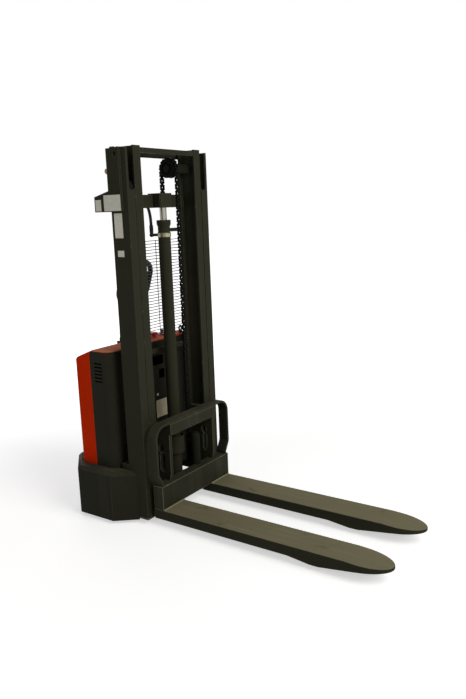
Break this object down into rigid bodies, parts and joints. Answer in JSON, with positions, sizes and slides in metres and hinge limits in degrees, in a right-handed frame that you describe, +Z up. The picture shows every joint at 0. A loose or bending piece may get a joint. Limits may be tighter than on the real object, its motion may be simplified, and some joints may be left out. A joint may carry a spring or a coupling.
{
  "type": "electric pallet stacker",
  "caption": "Walk-behind electric pallet stacker: two-stage mast, chain-lifted fork carriage over support legs, steered drive wheel with tiller, hooded battery bay.",
  "frame": {"origin": "on the floor, under the middle of the machine's length and width, forks lowered", "axes": "+X along the forks towards their tips, +Y to the machine's left, +Z up"},
  "size_m": [1.76, 0.776, 1.826],
  "materials": {
    "mast_paint": "charcoal paint with a slight olive tint",
    "fork_paint": "charcoal paint, scuffed and dusty on top",
    "cover_paint": "dark grey textured paint",
    "hood_orange": "red-orange paint",
    "bright_steel": "ground and polished",
    "roller_steel": "greased steel",
    "chain_steel": "oiled dark steel",
    "cast_iron": "painted casting",
    "wheel_tread": "polyurethane tread",
    "hose_rubber": "black rubber",
    "guard_wire": "black wire",
    "control_plastic": "black moulded plastic",
    "signal_red": "red moulded plastic",
    "battery_case": "moulded battery case",
    "controller_case": "cast aluminium"
  },
  "bodies": {
    "chassis": {"outer_channel_left": "mast_paint", "outer_channel_right": "mast_paint", "outer_ties": "mast_paint", "side_plates": "mast_paint", "wire_guard": "guard_wire", "support_leg_left": "fork_paint", "support_leg_right": "fork_paint", "load_axles": "bright_steel", "cylinder_barrel": "mast_paint", "cylinder_gland": "mast_paint", "cylinder_clamp": "mast_paint", "cylinder_hose": "hose_rubber", "chain_anchor_rear": "mast_paint", "chain_rear": "chain_steel", "chassis_frame": "mast_paint", "base_cover": "cover_paint", "hood_front": "cover_paint", "hood_rear": "hood_orange", "batteries": "battery_case", "battery_hold_down": "mast_paint", "power_pack": "cast_iron", "controller": "controller_case"},
    "inner_mast": {"inner_channel_left": "mast_paint", "inner_channel_right": "mast_paint", "inner_ties": "mast_paint", "lift_beam": "mast_paint", "ram": "bright_steel", "chain_wheel_bracket": "mast_paint", "chain_over_wheel": "chain_steel"},
    "carriage": {"carriage_beam": "mast_paint", "carriage_uprights": "mast_paint", "backrest_bar": "mast_paint", "fork_left": "fork_paint", "fork_right": "fork_paint", "chain_anchor_front": "mast_paint", "chain_front": "chain_steel"},
    "drive_unit": {"drive_gearbox": "cast_iron", "drive_motor": "cast_iron", "steering_column": "control_plastic"},
    "tiller": {"tiller_arm": "control_plastic", "tiller_head": "control_plastic"},
    "caster_left": {"caster_fork_left": "roller_steel"},
    "caster_right": {"caster_fork_right": "roller_steel"},
    "chain_wheel": {"chain_wheel": "chain_steel"},
    "mast_top_rollers": {"mast_top_rollers": "roller_steel"},
    "mast_foot_rollers": {"mast_foot_rollers": "roller_steel"},
    "carriage_upper_rollers": {"carriage_upper_rollers": "roller_steel"},
    "carriage_lower_rollers": {"carriage_lower_rollers": "roller_steel"},
    "drive_wheel": {"drive_wheel": "wheel_tread"},
    "thumb_throttle": {"thumb_throttle": "control_plastic"},
    "belly_button": {"belly_button": "signal_red"},
    "lift_rocker": {"lift_rocker": "control_plastic"},
    "horn_button": {"horn_button": "control_plastic"},
    "emergency_stop": {"emergency_stop": "signal_red"},
    "key_switch": {"key_switch": "bright_steel"},
    "load_wheel_left": {"load_wheel_left": "wheel_tread"},
    "load_wheel_right": {"load_wheel_right": "wheel_tread"},
    "caster_wheel_left": {"caster_wheel_left": "wheel_tread"},
    "caster_wheel_right": {"caster_wheel_right": "wheel_tread"}
  },
  "joints": [
    {"name": "mast_lift", "type": "slide", "parent": "chassis", "child": "inner_mast", "axis": [0, 0, 1], "range_m": [0, 1.2], "deforming": ["chain_rear"]},
    {"name": "carriage_lift", "type": "slide", "parent": "inner_mast", "child": "carriage", "axis": [0, 0, 1], "range_m": [0, 1.2], "deforming": ["chain_front"]},
    {"name": "chain_wheel_spin", "type": "hinge", "parent": "inner_mast", "child": "chain_wheel", "pos_m": [-0.417, 0.073, 1.732], "axis": [0, -1, 0], "range_deg": [0, 1440]},
    {"name": "mast_top_rollers_spin", "type": "hinge", "parent": "chassis", "child": "mast_top_rollers", "pos_m": [-0.409, 0, 1.634], "axis": [0, 1, 0], "range_deg": [0, 1660]},
    {"name": "mast_foot_rollers_spin", "type": "hinge", "parent": "inner_mast", "child": "mast_foot_rollers", "pos_m": [-0.409, 0, 0.14], "axis": [0, -1, 0], "range_deg": [0, 1660]},
    {"name": "carriage_upper_rollers_spin", "type": "hinge", "parent": "carriage", "child": "carriage_upper_rollers", "pos_m": [-0.409, 0, 0.455], "axis": [0, 1, 0], "range_deg": [0, 1660]},
    {"name": "carriage_lower_rollers_spin", "type": "hinge", "parent": "carriage", "child": "carriage_lower_rollers", "pos_m": [-0.409, 0, 0.15], "axis": [0, -1, 0], "range_deg": [0, 1660]},
    {"name": "steer", "type": "hinge", "parent": "chassis", "child": "drive_unit", "pos_m": [-0.71, 0, 0.25], "axis": [0, 0, 1], "range_deg": [-90, 90]},
    {"name": "drive_wheel_spin", "type": "hinge", "parent": "drive_unit", "child": "drive_wheel", "pos_m": [-0.71, 0, 0.115], "axis": [0, 1, 0], "continuous": true},
    {"name": "tiller_pitch", "type": "hinge", "parent": "drive_unit", "child": "tiller", "pos_m": [-0.71, 0, 0.902], "axis": [0, -1, 0], "range_deg": [0, 95]},
    {"name": "throttle", "type": "hinge", "parent": "tiller", "child": "thumb_throttle", "pos_m": [-0.60679, 0, 1.21965], "axis": [0, 1, 0], "range_deg": [-25, 25], "stiffness_Nm_per_rad": 0.6},
    {"name": "reverse_press", "type": "slide", "parent": "tiller", "child": "belly_button", "axis": [0.309, 0, 0.9511], "range_m": [-0.008, 0], "stiffness_N_per_m": 1500, "springref_m": 0.003},
    {"name": "lift_rock", "type": "hinge", "parent": "tiller", "child": "lift_rocker", "pos_m": [-0.63879, 0, 1.18589], "axis": [0, 1, 0], "range_deg": [-8, 8], "stiffness_Nm_per_rad": 0.4},
    {"name": "horn_press", "type": "slide", "parent": "tiller", "child": "horn_button", "axis": [0.9511, 0, -0.309], "range_m": [0, 0.004], "stiffness_N_per_m": 800, "springref_m": -0.002},
    {"name": "stop_press", "type": "slide", "parent": "chassis", "child": "emergency_stop", "axis": [0, 0, 1], "range_m": [-0.006, 0]},
    {"name": "key_turn", "type": "hinge", "parent": "chassis", "child": "key_switch", "pos_m": [-0.6, 0.165, 0.866], "axis": [0, 0, 1], "range_deg": [0, 90]},
    {"name": "load_wheel_left_spin", "type": "hinge", "parent": "chassis", "child": "load_wheel_left", "pos_m": [0.555, 0.195, 0.037], "axis": [0, 1, 0], "continuous": true},
    {"name": "load_wheel_right_spin", "type": "hinge", "parent": "chassis", "child": "load_wheel_right", "pos_m": [0.555, -0.195, 0.037], "axis": [0, 1, 0], "continuous": true},
    {"name": "caster_left_swivel", "type": "hinge", "parent": "chassis", "child": "caster_left", "pos_m": [-0.665, 0.272, 0.2], "axis": [0, 0, 1], "continuous": true},
    {"name": "caster_wheel_left_spin", "type": "hinge", "parent": "caster_left", "child": "caster_wheel_left", "pos_m": [-0.699, 0.272, 0.062], "axis": [0, 1, 0], "continuous": true},
    {"name": "caster_right_swivel", "type": "hinge", "parent": "chassis", "child": "caster_right", "pos_m": [-0.665, -0.272, 0.2], "axis": [0, 0, 1], "continuous": true},
    {"name": "caster_wheel_right_spin", "type": "hinge", "parent": "caster_right", "child": "caster_wheel_right", "pos_m": [-0.699, -0.272, 0.062], "axis": [0, 1, 0], "continuous": true}
  ],
  "couplings": [
    {"joint": "carriage_lift", "follows": "mast_lift", "ratio": 1},
    {"joint": "chain_wheel_spin", "follows": "mast_lift", "rad_per_m": 20.833},
    {"joint": "mast_top_rollers_spin", "follows": "mast_lift", "rad_per_m": 23.981},
    {"joint": "mast_foot_rollers_spin", "follows": "mast_lift", "rad_per_m": 23.981},
    {"joint": "carriage_upper_rollers_spin", "follows": "mast_lift", "rad_per_m": 23.981},
    {"joint": "carriage_lower_rollers_spin", "follows": "mast_lift", "rad_per_m": 23.981}
  ]
}
